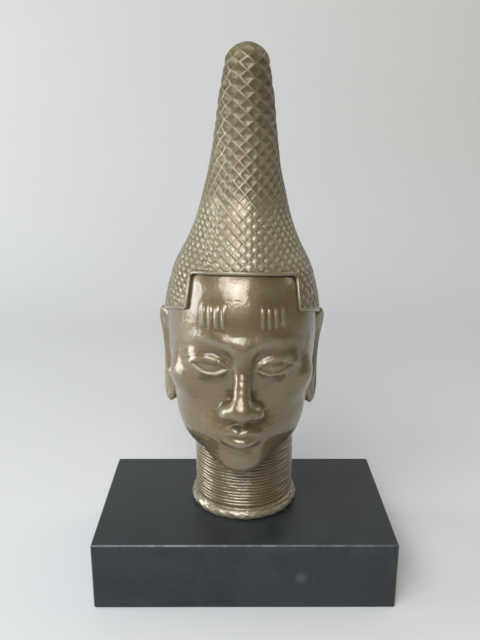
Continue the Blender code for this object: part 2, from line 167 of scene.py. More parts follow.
# Fine grid within the cells: steps to a half cell, and where they are drawn to
FINE = 4
EVEN_PHASES = (0.0, 0.125, 0.25, 0.375, 0.5)
DRAWN_PHASES = (0.0, 0.080, 0.150, 0.235, 0.5)
LEAST_GAP = 0.03

# Relief: raised pads between thin strands low down, hollow cells between thick ones high up
STRAND_RISE = 1.1
LOW_OVER = 0.66
LOW_UNDER = 0.34
HIGH_UNDER = 0.85
HIGH_STRAND_HALF = 0.185
LOW_STRAND_HALF = 0.110
PADS_BELOW_Z = 266.0
CELLS_ABOVE_Z = 304.0
CELL_DEPTH = 0.35
CELL_SLOPE = (0.10, 0.45)
PAD_RISE = 0.98
PAD_SLOPE = (0.30, 0.46)
PAD_DOME = 0.18
PAD_DOME_SLOPE = (0.40, 1.0)
PAD_GROOVE = 0.35
GROOVE_AT = 0.28
GROOVE_HALF = 0.10
CAST_LUMPS = 0.10
CAST_LUMP_CELLS = 1.4
CROWN_LUMPS = 0.16
CROWN_ROWS = (1.2, 2.2)
TIP_ROWS = 0.9

# Collar of stacked rings, above a flange with beads and a rolled band
NECK_Y = 8.5
COLLAR_RADIUS = 46.0
RINGS = 29
RING_PITCH = 2.95
RING_DEPTH = 1.0
RING_PROFILE = ((0.0, 1.0), (0.22, 0.28), (0.5, 0.0), (0.78, 0.28))
RINGS_FROM_Z = 11.5
COLLAR_FOOT_Z = 3.0
FLANGE_RADIUS = 47.8
BAND_RADIUS = 4.2
BAND_MIDDLE = 46.3
BAND_ANGLES = tuple(62 - 12.5 * step for step in range(13))
BEADS = 62
BEAD_RADIUS = 1.25
BEAD_SHAPE = (1.3, 0.9, 0.8, 1)
BEAD_Z = 9.7
LATHE_STEPS = 108

# Ears: place and half size of the outline, and how far out its rim, front and root are
EAR_Y = 4.0
EAR_Z = 141.0
EAR_HALF_HEIGHT = 44.0
EAR_HALF_DEPTH = 17.0
EAR_TOP_X = 77.0
EAR_BOTTOM_X = 69.2
EAR_FRONT_X = 60.5
EAR_ROOT_X = 50.0
EAR_ROOT_SHARES = (0.72, 0.80)
EAR_LEAN = 2.5
EAR_NARROWING = 0.20
EAR_ROUND = 1.2
EAR_RINGS = 26
EAR_SPOKES = 88

# Fineness of the face, the search for a surface along straight ways, and the finish of the mesh
FACE_COLUMNS = 232
FACE_ROWS = 200
FRONT_CROWDING = 0.34
LEVEL_CROWDING = 0.46
FACE_CENTRE = (0.0, -5.0, 120.0)
CAST_FROM = 150.0
CAP_CAST_FROM = 105.0
CAST_ROUNDS = 70
CAST_STEP = 0.7
CAST_CLOSE = 0.001
SHARP_ANGLE = math.radians(65)
CURVATURE_ROUNDS = {"crease": 2, "relief": 5}

# Slow and fine unevenness of the face: depth and size
UNEVEN = (0.18, 6.5)
STROKES = (0.11, 1.9)

# Levels between which the bronze changes
POLISHED_Z = (HAIRLINE_Z - 7.5, HAIRLINE_Z + 6.5)
HIGH_Z = (255, 310)
# Painted shade darkens the upper cap between these levels
UPPER_CAP_SHADE_Z = (310, 375)
PALE_TIP_Z = (387, 399)
DULL_TIP_Z = (381, 397)
RUBBED_FOOT_Z = (6, 13)

# Backdrop: a floor that bends up into a wall behind the plinth
WALL_Y = 1.2
WALL_BEND = 0.45
WALL_HEIGHT = 2.4
WALL_HALF = 2.0
BEND_STEPS = 12

# A faint smudge on the plinth's front
SMUDGE_X = 0.048
SMUDGE_Z = 0.030

# Camera: place in widths of the plinth, turns in radians, and focal length in heights of the picture
CAMERA_PLACE = (-0.0313, -2.2535, 1.578)
CAMERA_PITCH = 0.2881
CAMERA_TURN = -0.0067
CAMERA_ROLL = -0.003
FOCAL_HEIGHTS = 1.0915625
SENSOR = 36

# Lights: turn to the right of the camera, climb, distance, size, power and colour
LIT_Z = 0.25
LIGHTS = {
    "window": (-93, 8, 1.8, 0.8, 16, (0.95, 0.98, 1.0)),
    "ceiling_front": (0, 60, 2.4, 0.9, 3, (1.0, 0.99, 0.97)),
    "ceiling_left": (-44, 46, 2.4, 0.9, 16, (1.0, 0.99, 0.98)),
    "lamp": (-24, 33, 2.4, 0.8, 10, (0.98, 0.98, 1.0)),
    "front_lamp": (-6, 35, 1.6, 0.8, 14.5, (1.0, 1.0, 1.0)),
    "side_fill": (110, 32, 2.2, 1.2, 6, (1.0, 0.93, 0.80)),
}


# Soft shapes: each function gives the distance of points from a surface, below 0 inside it


def ramp(value, low, high):
    """Rise smoothly from 0 at low to 1 at high."""
    share = np.clip((value - low) / (high - low), 0, 1)
    return share * share * (3 - 2 * share)


def bump(value, width):
    """A bell curve about 0."""
    return np.exp(-((value / width) ** 2))


def ellipsoid(points, centre, radii, power=2.0):
    """An ellipsoid, squarer where the power is over 2."""
    share = (points - np.array(centre)) / np.array(radii)
    if power == 2.0:
        length = np.linalg.norm(share, axis=-1)
        slope = np.linalg.norm(share / np.array(radii), axis=-1)
        return length * (length - 1) / np.maximum(slope, 1e-9)
    length = (np.abs(share) ** power).sum(-1) ** (1 / power)
    return (length - 1) * min(radii)


def limb(points, start, end, start_radius, end_radius):
    """A rounded rod that tapers from one radius to the other."""
    start, end = np.array(start, float), np.array(end, float)
    along = end - start
    share = np.clip(((points - start) @ along) / (along @ along), 0, 1)
    radius = start_radius + (end_radius - start_radius) * share
    return np.linalg.norm(points - start - share[..., None] * along, axis=-1) - radius


def chain(points, stops, radii):
    """Rods that follow each other through the stops."""
    rods = [limb(points, *ends) for ends in zip(stops, stops[1:], radii, radii[1:])]
    return np.minimum.reduce(rods)


def bowed_rod(points, half_width, depth, height, radius):
    """A rod from side to side; depth, height and radius are functions of the share outwards."""
    x = np.abs(points[..., 0])
    share = np.clip(x / half_width, 0, 1)
    past = np.maximum(x - half_width, 0)
    across = np.hypot(points[..., 1] - depth(share), points[..., 2] - height(share))
    return np.hypot(across, past) - radius(share)


def join(one, other, blend):
    """Join two shapes with a fillet about as wide as the blend."""
    share = np.clip(0.5 + 0.5 * (other - one) / blend, 0, 1)
    return other * (1 - share) + one * share - blend * share * (1 - share)


def carve(body, tool, blend):
    """Take a shape out of another, with a soft edge."""
    return -join(-body, tool, blend)


def mirrored(points):
    """Fold both sides of the head on to the side at +X."""
    folded = points.copy()
    folded[..., 0] = np.abs(folded[..., 0])
    return folded


def skull(points):
    """The head without its features, which the cap fits."""
    points = mirrored(points)
    body = join(ellipsoid(points, *CRANIUM), ellipsoid(points, *NAPE), 12)
    body = join(body, ellipsoid(points, *MIDDLE, MIDDLE_SQUARENESS), 12)
    body = join(body, ellipsoid(points, *JAW), 14)
    body = join(body, ellipsoid(points, *CHIN), 12)
    body = join(body, ellipsoid(points, *MUZZLE), 10)
    return join(body, ellipsoid(points, *CHEEK), 12)


def brow(points, body):
    """A low arch over each eye, and the socket under it."""
    arch = bowed_rod(
        points,
        BROW_HALF,
        lambda share: -69 + 33 * share**2.3,
        lambda share: BROW_Z - 1.5 + 8 * ramp(share, 0, 0.5) - 11 * share**2,
        lambda share: 4.8 - 7.0 * share**2,
    )
    body = join(body, arch, BROW_SOFTNESS)
    return carve(body, ellipsoid(points, *SOCKET), BROW_SOFTNESS)


def eye(points):
    """An eyeball between two lids, with a crease above and a low round iris."""
    across, up = points[..., 0] - EYE_X, points[..., 2] - EYE_Z
    turned = points - 0.25 * across[..., None] * np.array([0, 1, 0])
    share = across / EYE_HALF
    upper = EYE_OPEN_ABOVE * (1 - share**2) + EYE_CORNER_RISE * share
    lower = -EYE_OPEN_BELOW * (1 - share**2) + EYE_CORNER_RISE * share
    outside = np.maximum(up - upper, lower - up) / np.sqrt(1 + (0.75 * share) ** 2)
    lid = 1.9 * ramp(outside, -0.9, 0.9) + 0.7 * bump(outside - 1.5, 1.1)
    crease = 0.8 * bump(outside - 5.4, 1.2) * ramp(up, 0, 4)
    iris = 0.45 * ramp(-np.hypot(across, up - 0.5), -5.4, -4.4)
    return ellipsoid(turned, *EYEBALL) - lid + crease - iris


def nose(points, body):
    """Bridge, tip, wings and nostrils, set on the body."""
    body = join(body, chain(points, BRIDGE, BRIDGE_RADII), 9)
    body = join(body, ellipsoid(points, *NOSE_TIP), 6)
    body = join(body, ellipsoid(points, *NOSE_WING), 6.5)
    return carve(body, ellipsoid(points, *NOSTRIL), 3.0)


def mouth(points, body):
    """Two lips that meet in a line, the groove above them and the hollow below."""
    upper = bowed_rod(
        points,
        MOUTH_HALF,
        lambda share: -74.3 + 10.5 * share**2,
        lambda share: MOUTH_Z + 3.3 + 1.5 * bump(share - 0.28, 0.25) - 3.0 * share**2,
        lambda share: 1.0 + 3.3 * (1 - share**2),
    )
    lower = bowed_rod(
        points,
        MOUTH_HALF - 1,
        lambda share: -73.2 + 10.0 * share**2,
        lambda share: MOUTH_Z - 4.9 + 4.6 * share**2,
        lambda share: 0.9 + 4.3 * (1 - share**2),
    )
    hollow = limb(points, (0, -76, MOUTH_Z - 13.5), (9, -74, MOUTH_Z - 12.5), 3.5, 3.0)
    body = carve(body, hollow, 7)
    body = join(body, join(upper, lower, 0.8), 3.0)
    return carve(body, limb(points, (0, -78.0, 112.5), (0, -79.5, 106), 1.8, 2.2), 4.0)


def forehead_marks(points, body):
    """Short upright bars, raised from the forehead."""
    flat = points.copy()
    flat[..., 1] = 0
    for number in range(MARKS):
        x = MARK_FIRST_X + MARK_PITCH * number
        bar = limb(flat, (x, 0, MARK_LOW_Z), (x, 0, MARK_HIGH_Z), MARK_RADIUS, MARK_RADIUS)
        body = body - MARK_RISE * ramp(-bar, -0.8, 0.9) * (points[..., 1] < 0)
    return body


def face(points):
    """The whole bare head: skull, brow, eyes, nose, mouth, chin and marks."""
    points = mirrored(points)
    body = brow(points, skull(points))
    body = join(body, eye(points), 5)
    body = nose(points, body)
    body = mouth(points, body)
    body = join(body, ellipsoid(points, *CHIN_TIP), 10)
    return forehead_marks(points, body)


def cast(field, origin, way, start):
    """Move points along their ways from outside to a shape's surface, or else to the origin."""
    origin = np.broadcast_to(origin, way.shape)
    reach = np.full(way.shape[:-1], float(start))
    moving = np.ones(reach.shape, bool)
    for _ in range(CAST_ROUNDS):
        far = reach[moving]
        distance = field(origin[moving] + far[:, None] * way[moving])
        near = np.maximum(far - CAST_STEP * distance, 0)
        reach[moving] = near
        moving[moving] = np.abs(near - far) > CAST_CLOSE
        if not moving.any():
            break
    return origin + reach[..., None] * way


def crowded(share, crowding):
    """Draw evenly spread shares from -1 to 1 towards 0."""
    return crowding * share + (1 - crowding) * share**3


def section_value(z, column):
    """Read one column of the cap's sections at any height, along a smooth curve."""
    levels = np.array([section[0] for section in CAP_SECTIONS])
    values = np.array([section[column] for section in CAP_SECTIONS])
    slopes = np.gradient(values, levels)
    z = np.clip(z, levels[0], levels[-1])
    below = np.clip(np.searchsorted(levels, z, side="right") - 1, 0, len(levels) - 2)
    span = levels[below + 1] - levels[below]
    share = (z - levels[below]) / span
    bend = share**2 * (3 - 2 * share)
    straight = (1 - bend) * values[below] + bend * values[below + 1]
    curve = (1 - share) * slopes[below] - share * slopes[below + 1]
    return straight + span * share * (1 - share) * curve


def cap_middle(z):
    """Depth of the cap's middle at a height."""
    return (section_value(z, FRONT) + section_value(z, BACK)) / 2


def cap_axis(turn, z):
    """The middle of the cap at a height, and the level direction of a turn from the front."""
    origin = np.stack([np.zeros_like(z), cap_middle(z), z], -1)
    return origin, np.stack([np.sin(turn), -np.cos(turn), np.zeros_like(z)], -1)


def cap_reach(turn, z):
    """How far the cap's surface is from its middle: sections above, and the skull's fit below."""
    half_width = section_value(z, HALF_WIDTH)
    half_depth = (section_value(z, BACK) - section_value(z, FRONT)) / 2
    reach = 1 / np.hypot(np.sin(turn) / half_width, np.cos(turn) / half_depth)
    low = z < CAP_FITS_BELOW_Z
    if low.any():
        origin, way = cap_axis(turn[low], z[low])
        fit = np.linalg.norm(cast(skull, origin, way, CAP_CAST_FROM) - origin, axis=-1) + CAP_THICKNESS
        lowest = CAP_SECTIONS[0][0]
        above = reach[low] - CAP_FADE_DEPTH * ramp(-z[low], -lowest - CAP_FADE_HEIGHT, -lowest)
        both = -join(-fit, -above, CAP_FIT_SOFTNESS)
        share = ramp(z[low], CAP_FITS_BELOW_Z, CAP_FITS_FULLY_Z)
        reach[low] = reach[low] * (1 - share) + both * share
    return reach


def cap_point(turn, z, rise=0.0, climb=0.0):
    """A point of the cap, where climb is the angle up the dome and rise stands off the surface."""
    turn, z, rise, climb = np.broadcast_arrays(*np.atleast_1d(turn, z, rise, climb))
    turn, z = turn.astype(float), z.astype(float)
    origin, way = cap_axis(turn, z)
    reach = (cap_reach(turn, z) + rise) * np.cos(climb)
    point = origin + way * reach[..., None]
    point[..., 2] += (DOME_HEIGHT + rise) * np.sin(climb)
    return point


def front_edge_z(y):
    """Height of the cap's front edge at a depth."""
    return HAIRLINE_Z - FRONT_EDGE_SLOPE * (y - FRONT_EDGE_Y)


def side_edge_z(y):
    """Height of the cap's side edges at a depth."""
    return SIDE_EDGE_Z - SIDE_EDGE_SLOPE * (y - SIDE_EDGE_Y)


# The casting, built piece by piece as closed meshes and then joined


def placed(points):
    """Lean points of the head about a pivot in the cap, and turn units into metres."""
    above = points[..., 2] - LEAN_PIVOT_Z
    x = points[..., 0] * math.cos(LEAN) + above * math.sin(LEAN)
    z = above * math.cos(LEAN) - points[..., 0] * math.sin(LEAN) + LEAN_PIVOT_Z
    return on_plinth(np.stack([x, points[..., 1], z], -1))


def on_plinth(points):
    """Turn points in units into metres, with the foot where the solid head has it."""
    low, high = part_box("queen_head")
    top = LEAN_PIVOT_Z + (UNITS_HIGH + STRAND_RISE - LEAN_PIVOT_Z) * math.cos(LEAN)
    return points * ((high[2] - low[2]) / top) + np.array([0, 0, low[2]])


def add_object(name, data):
    """Make an object of some data and put it into the scene."""
    thing = bpy.data.objects.new(name, data)
    bpy.context.scene.collection.objects.link(thing)
    return thing


def add_mesh(name, points, faces):
    """Make an object of points in metres and a list of faces."""
    mesh = bpy.data.meshes.new(name)
    mesh.from_pydata([tuple(point) for point in points], [], faces)
    mesh.update()
    return add_object(name, mesh)


def ripple(points, size, phase=0.0):
    """A slow uneven wave through space, from -1 to 1."""
    x, y, z = (points[..., k] / size for k in range(3))
    first = np.sin(x * 1.7 + 1.3 * np.sin(y * 1.1 + phase) + phase)
    second = np.sin(y * 1.9 + 1.2 * np.sin(z * 1.3 + 2 + phase))
    third = np.sin(z * 2.1 + 1.4 * np.sin(x * 0.9 + 4 + phase))
    return (first + second + third) / 3


def uneven_face(points):
    """The face with the unevenness of a hand-filed casting, in slow lumps and finer strokes."""
    lumps = UNEVEN[0] * ripple(points, UNEVEN[1])
    strokes = STROKES[0] * ripple(points * np.array([0.45, 1.0, 1.0]), STROKES[1], 1.0)
    return face(points) - lumps - strokes


def read_rows(items, name, width=3):
    """One property of a mesh's vertices, edges or normals, as rows of numbers."""
    rows = np.empty(len(items) * width, int if name == "vertices" else float)
    items.foreach_get(name, rows)
    return rows.reshape(-1, width)


def move_vertices(mesh, places):
    """Put a mesh's vertices to new places."""
    mesh.vertices.foreach_set("co", places.ravel())
    mesh.update()


def make_face():
    """A sphere whose vertices are crowded to the front and moved out on to the face."""
    shape = bmesh.new()
    bmesh.ops.create_uvsphere(shape, u_segments=FACE_COLUMNS, v_segments=FACE_ROWS, radius=1)
    mesh = bpy.data.meshes.new("bronze_head")
    shape.to_mesh(mesh)
    shape.free()
    x, y, z = read_rows(mesh.vertices, "co").T
    turn = crowded(np.arctan2(x, -y) / math.pi, FRONT_CROWDING) * math.pi
    climb = crowded(np.arcsin(np.clip(z, -1, 1)) / (math.pi / 2), LEVEL_CROWDING) * math.pi / 2
    way = np.stack([np.sin(turn) * np.cos(climb), -np.cos(turn) * np.cos(climb), np.sin(climb)], -1)
    move_vertices(mesh, placed(cast(uneven_face, np.array(FACE_CENTRE), way, CAST_FROM)))
    return add_object("bronze_head", mesh)


def ring_faces(rings, sides):
    """Faces between rings of points, each ring with the next."""
    faces = []
    for ring in range(rings - 1):
        for side in range(sides):
            a, b = ring * sides + side, ring * sides + (side + 1) % sides
            faces.append((a, a + sides, b + sides, b))
    return faces


def front_line():
    """Row number down the cap's front, with the height, the climb and the reach there."""
    climb = np.concatenate([np.linspace(math.pi / 2, 0, DOME_STEPS), np.zeros(LINE_STEPS)])
    z = np.concatenate([np.full(DOME_STEPS, DOME_Z), np.linspace(DOME_Z, NAPE_Z, LINE_STEPS + 1)[1:]])
    points = cap_point(0.0, z, climb=climb)
    reach = cap_reach(np.zeros_like(z), z) * np.cos(climb)
    lengths = np.linalg.norm(np.diff(points, axis=0), axis=-1)
    share = ramp((z[1:] + z[:-1]) / 2, LOW_ROWS_BELOW_Z, HIGH_ROWS_ABOVE_Z)
    row = np.cumsum(lengths / (LOW_ROW_STEP + (HIGH_ROW_STEP - LOW_ROW_STEP) * share))
    row = np.concatenate([[0], row])
    return row * round(row[-1]) / row[-1], z, climb, reach


def front_crowding(z):
    """How evenly the front's lattice is spread: fully (1) at the tip, less so lower down."""
    return FRONT_SHARE + (1 - FRONT_SHARE) * ramp(z, CROWDED_BELOW_Z, DOME_Z)


def row_cells(line, reach, spread, crowding, wider):
    """Number of half cells on each side of a part's middle in every row, from the tip down."""
    row, z, _, _ = line
    counts = [0]
    levels, widths = zip(*CELL_WIDTHS)
    for number in range(1, round(row[-1]) + 1):
        level = np.interp(number, row, z)
        width = wider * np.interp(level, levels, widths)
        wanted = 2 * spread * crowding(level) * np.interp(number, row, reach) / width
        more = counts[-1] + (wanted > counts[-1])
        counts.append(max(more, TIP_CELLS))
    return counts


def drawn(phase):
    """Move even steps across a cell closer to the strands, to round them."""
    nearest = np.round(phase)
    off = phase - nearest
    return nearest + np.sign(off) * np.interp(np.abs(off), EVEN_PHASES, DRAWN_PHASES)


def half_round(distance, half):
    """Height of a round strand at a distance from its middle."""
    return np.sqrt(np.clip(1 - (distance / half) ** 2, 0, 1))


def strand_height(falling, rising, z):
    """Relief of the lattice: strands that fall to the right lie over those that rise."""
    far_over = np.abs(falling - np.round(falling))
    far_under = np.abs(rising - np.round(rising))
    upper = ramp(z, PADS_BELOW_Z, CELLS_ABOVE_Z)
    half = LOW_STRAND_HALF + (HIGH_STRAND_HALF - LOW_STRAND_HALF) * upper
    over = (LOW_OVER + (1 - LOW_OVER) * upper) * half_round(far_over, half)
    under = (LOW_UNDER + (HIGH_UNDER - LOW_UNDER) * upper) * half_round(far_under, half)
    inside = np.clip(2 * np.minimum(far_over, far_under), 0, 1)
    cell = -CELL_DEPTH * ramp(inside, *CELL_SLOPE)
    domed = (1 - PAD_DOME) * ramp(inside, *PAD_SLOPE) + PAD_DOME * ramp(inside, *PAD_DOME_SLOPE)
    pad = PAD_RISE * domed - PAD_GROOVE * bump(inside - GROOVE_AT, GROOVE_HALF)
    return STRAND_RISE * np.maximum(np.maximum(over, under), cell * upper + pad * (1 - upper))


def fine_grid(cells):
    """Rows and places of a part's grid from the tip down, and its vertices' numbers row by row."""
    rows, places, numbers = [], [], []
    for step in range(FINE * (len(cells) - 1) + 1):
        whole, part = divmod(step, FINE)
        more = cells[min(whole + 1, len(cells) - 1)] - cells[whole]
        half = FINE * cells[whole] + part * more
        side = np.arange(-half, half + 1)
        numbers.append({int(place): len(rows) + k for k, place in enumerate(side)})
        rows.extend([step / FINE] * len(side))
        places.extend(side / FINE)
    return np.array(rows), np.array(places), numbers


def drawn_grid(rows, places, cells):
    """The grid drawn closer to the strands, save at tip and edges, and the half cells there."""
    count = np.interp(rows, np.arange(len(cells)), cells)
    held = (np.abs(places) >= count - 1e-6) | (rows < 1)
    rising, falling = drawn((rows + places) / 2), drawn((rows - places) / 2)
    row = np.where(held, rows, np.clip(rising + falling, 0, rows[-1]))
    row = np.where(rows >= rows[-1], rows, row)
    count = np.interp(row, np.arange(len(cells)), cells)
    limit = count - LEAST_GAP
    return row, np.where(held, places, np.clip(rising - falling, -limit, limit)), count


def cap_relief(row, place, turn, z):
    """Height of the lattice, with the lumps of the casting and of the crown."""
    height = strand_height((row - place) / 2, (row + place) / 2, z)
    height = height + CAST_LUMPS * ripple(np.stack([place, row, 0 * z], -1), CAST_LUMP_CELLS)
    crown = 1 - ramp(row, *CROWN_ROWS)
    return height - CROWN_LUMPS * crown * (1 + np.sin(2.6 * row + 3 * turn))


def cap_part(line, cells, middle, spread, crowding):
    """Points of the cap's front or back, with their heights and their numbers row by row."""
    row_at, z_at, climb_at, _ = line
    rows, places, numbers = fine_grid(cells)
    row, place, count = drawn_grid(rows, places, cells)
    z = np.interp(row, row_at, z_at)
    climb = np.interp(row, row_at, climb_at)
    turn = middle + spread * crowded(place / np.maximum(count, 1e-6), crowding(z))
    height = cap_relief(row, place, turn, z)
    aside = (spread - np.abs(turn - middle)) * cap_reach(turn, z)
    height = np.maximum(height, STRAND_RISE * bump(aside, CORD_HALF))
    below_tip = ramp(row, 0.0, TIP_ROWS)
    height = height * below_tip + STRAND_RISE * (1 - below_tip)
    return cap_point(turn, z, np.minimum(height, STRAND_RISE), climb), height, numbers


def share_edges(front, back, offset):
    """Number the back's vertices after the front's, but for the edges, which are the front's."""
    for ours, theirs in zip(front, back):
        for place in theirs:
            theirs[place] += offset
        theirs[min(theirs)] = ours[max(ours)]
        theirs[max(theirs)] = ours[min(ours)]


def without_unused(points, faces):
    """Drop the points that no face has."""
    used = np.unique([corner for corners in faces for corner in corners])
    renumbered = np.zeros(len(points), int)
    renumbered[used] = np.arange(len(used))
    return points[used], [[int(renumbered[corner]) for corner in corners] for corners in faces]


def make_cap():
    """Rows down from the tip, in a front and a back that meet under a cord on each side."""
    line = front_line()
    _, z, climb, reach = line
    back_turn = math.pi - FRONT_TURN
    cells = row_cells(line, reach, FRONT_TURN, front_crowding, 1.0)
    points, height, front = cap_part(line, cells, 0.0, FRONT_TURN, front_crowding)
    reach = cap_reach(np.full_like(z, math.pi), z) * np.cos(climb)
    cells = row_cells(line, reach, back_turn, np.ones_like, BACK_CELLS_WIDER)
    more, higher, back = cap_part(line, cells, math.pi, back_turn, np.ones_like)
    share_edges(front, back, len(points))
    points, height = np.concatenate([points, more]), np.concatenate([height, higher])
    faces = stitched(front, height) + stitched(back, height)
    bottom = [back[-1][place] for place in sorted(back[-1], reverse=True)[1:-1]]
    faces.append(bottom + [front[-1][place] for place in sorted(front[-1], reverse=True)])
    points, faces = without_unused(points, faces)
    return add_mesh("cap", placed(points), faces)


def stitched(numbers, height):
    """Faces between rows of vertices: each square is split along its higher diagonal."""
    faces = []
    for upper, lower in zip(numbers, numbers[1:]):
        half, wider = max(upper), max(lower)
        for place in range(-half, half):
            a, b = upper[place], upper[place + 1]
            c, d = lower[place + 1], lower[place]
            if height[a] + height[c] > height[b] + height[d]:
                faces += [(a, d, c), (a, c, b)]
            else:
                faces += [(a, d, b), (b, d, c)]
        for place in range(half, wider):
            faces.append((upper[half], lower[place], lower[place + 1]))
            faces.append((upper[-half], lower[-place - 1], lower[-place]))
    return [corners for corners in faces if len(set(corners)) == len(corners)]


def wedge(name, half_width, top_z):
    """A cutter with a sloping top and splayed sides, from in front of the face to the ears."""
    shape = bmesh.new()
    bmesh.ops.create_cube(shape, size=2)
    corners = []
    for vertex in shape.verts:
        y = BEHIND_EAR_Y if vertex.co.y > 0 else CUTTER_FRONT_Y
        z = top_z(y) if vertex.co.z > 0 else CUTTER_FLOOR_Z
        width = half_width + OPENING_SPLAY * (HAIRLINE_Z - z)
        corners.append((vertex.co.x * width, y, z))
    faces = [[vertex.index for vertex in side.verts] for side in shape.faces]
    shape.free()
    return add_mesh(name, placed(np.array(corners)), faces)


def toward(x, y, z):
    """The point of the cap's surface at a height, in the direction of x and y from its middle."""
    return cap_point(np.arctan2(x, cap_middle(z) - y), z)


def settle_y(x, y, z, edge=None):
    """Find the depth of the cap's surface at given x, at given heights or along an edge."""
    for _ in range(SEARCH_ROUNDS):
        y = toward(x, y, z)[..., 1]
        z = edge(y) if edge else z
    return np.stack(np.broadcast_arrays(x, y, z), -1)


def settle_x(x, y, z):
    """Find the half width of the cap's surface at given depths and heights."""
    for _ in range(SEARCH_ROUNDS):
        x = toward(x, y, z)[..., 0]
    return np.stack(np.broadcast_arrays(x, y, z), -1)


def stops_between(start, end):
    """Even steps from one value to another, about the border's spacing apart."""
    return np.linspace(start, end, max(2, math.ceil(abs(end - start) / BORDER_SPACING) + 1))


def border_half():
    """Points along the cap's edge on the side at +X, from the front to the nape."""
    start_z = front_edge_z(SEARCH_FROM_Y)
    top = settle_y(stops_between(0, OPENING_HALF), SEARCH_FROM_Y, start_z, front_edge_z)
    step_z = stops_between(top[-1][2], side_edge_z(top[-1][1]))[1:]
    step_x = OPENING_HALF + OPENING_SPLAY * (HAIRLINE_Z - step_z)
    step = settle_y(step_x, SEARCH_FROM_Y, step_z)
    side_y = stops_between(step[-1][1], BEHIND_EAR_Y)[1:]
    side = settle_x(SEARCH_FROM_X, side_y, side_edge_z(side_y))
    rear_z = stops_between(side[-1][2], NAPE_Z + BORDER_RADIUS)[1:]
    rear = settle_x(SEARCH_FROM_X, BEHIND_EAR_Y, rear_z)
    x, y, z = rear[-1]
    turn = np.linspace(math.atan2(x, cap_middle(z) - y), math.pi, NAPE_STOPS + 1)[1:]
    return np.concatenate([top, step, side, rear, cap_point(turn, z)])


def border_route():
    """Points all round the cap's edge, with softened corners."""
    half = border_half()
    route = np.concatenate([half, half[-2:0:-1] * np.array([-1, 1, 1])])
    for _ in range(BORDER_SMOOTHINGS):
        route = (np.roll(route, 1, 0) + 2 * route + np.roll(route, -1, 0)) / 4
    return route


def make_border():
    """A rolled rim along the cap's edge: a closed tube of even thickness."""
    route = border_route()
    along = np.roll(route, -1, 0) - np.roll(route, 1, 0)
    along /= np.linalg.norm(along, axis=-1, keepdims=True)
    out = route - np.array([0, BORDER_MIDDLE_Y, 0])
    out[:, 2] = 0
    out -= (out * along).sum(-1, keepdims=True) * along
    out /= np.linalg.norm(out, axis=-1, keepdims=True)
    across = np.cross(along, out)
    rings = []
    for side in range(BORDER_SIDES):
        angle = 2 * math.pi * side / BORDER_SIDES
        around = out * math.cos(angle) + across * math.sin(angle)
        rings.append(route - out * BORDER_SUNK + around * BORDER_RADIUS)
    points = np.stack(rings, 1).reshape(-1, 3)
    inward = np.array(ring_faces(len(route) + 1, BORDER_SIDES)) % len(points)
    return add_mesh("border", placed(points), inward[:, (0, 3, 2, 1)].tolist())


def ear_relief(across, up):
    """How far the ear's front stands out, for places from -1 to 1 within its outline."""
    flare = EAR_BOTTOM_X + (EAR_TOP_X - EAR_BOTTOM_X) * (np.maximum(up + 0.3, 0) / 1.3) ** 2
    front = ramp(-across, -0.75, 0.92)
    behind = ramp(across + 0.9 * np.abs(up - 0.1), -0.25, 0.15)
    rim = 1.6 * bump(np.hypot(across, up) - 0.89, 0.09)
    fold = 1.8 * bump(np.hypot(across + 0.10, (up - 0.12) * 0.85) - 0.47, 0.13)
    bowl = 3.2 * bump(np.hypot((across + 0.12) * 1.2, (up + 0.02) * 0.8), 0.30)
    flap = 1.6 * bump(np.hypot(across + 0.62, (up + 0.02) * 1.3), 0.17)
    lobe = 1.2 * bump(np.hypot(across + 0.05, up + 0.76), 0.24)
    return flare * (1 - front) + EAR_FRONT_X * front + (rim + fold) * behind + flap + lobe - bowl


def ear_place(across, up, x):
    """Turn places within the ear's outline into points: narrower below, and leaning back."""
    depth = EAR_HALF_DEPTH * (1 - EAR_NARROWING * (1 - up))
    return np.stack([x, EAR_Y + across * depth + EAR_LEAN * up, EAR_Z + EAR_HALF_HEIGHT * up], -1)


def make_ear(name, side):
    """A domed plate with a rolled rim and a lobe, its root sunk into the head."""
    points = []
    angle = np.arange(EAR_SPOKES) / EAR_SPOKES * 2 * math.pi
    for ring in range(1, EAR_RINGS + 1):
        share = ring / EAR_RINGS
        across, up = share * np.cos(angle), share * np.sin(angle)
        x = ear_relief(across, up) - EAR_ROUND * ramp(share, 0.93, 1.0)
        points.extend(ear_place(across, up, x))
    across, up = EAR_ROOT_SHARES[0] * np.cos(angle), EAR_ROOT_SHARES[1] * np.sin(angle)
    points.extend(ear_place(across, up, np.full(EAR_SPOKES, EAR_ROOT_X)))
    hub = len(points)
    middle = np.zeros(1)
    points.extend(ear_place(middle, middle, ear_relief(middle, middle)))
    faces = ring_faces(EAR_RINGS + 1, EAR_SPOKES)
    faces += [(hub, spoke, (spoke + 1) % EAR_SPOKES) for spoke in range(EAR_SPOKES)]
    faces.append(tuple(range(hub - 1, hub - 1 - EAR_SPOKES, -1)))
    points = np.array(points) * np.array([side, 1, 1])
    return add_mesh(name, placed(points), [corners[::side] for corners in faces])


def lathe(name, profile, steps, wobble):
    """Turn a profile from axis to axis about the neck, with a small change at each place."""
    angle = np.arange(steps) / steps * 2 * math.pi
    profile = np.array(profile)
    radius, z, turn = np.broadcast_arrays(profile[1:-1, :1], profile[1:-1, 1:], angle[None, :])
    radius = radius + wobble(radius, z, turn)
    rings = np.stack([radius * np.sin(turn), NECK_Y - radius * np.cos(turn), z], -1)
    ends = [[0, NECK_Y, profile[0, 1]], [0, NECK_Y, profile[-1, 1]]]
    top = rings.shape[0] * steps
    last = top - steps
    faces = ring_faces(len(rings), steps)
    for step in range(steps):
        onward = (step + 1) % steps
        faces += [(top, step, onward), (top + 1, last + onward, last + step)]
    return add_mesh(name, on_plinth(np.concatenate([rings.reshape(-1, 3), ends])), faces)


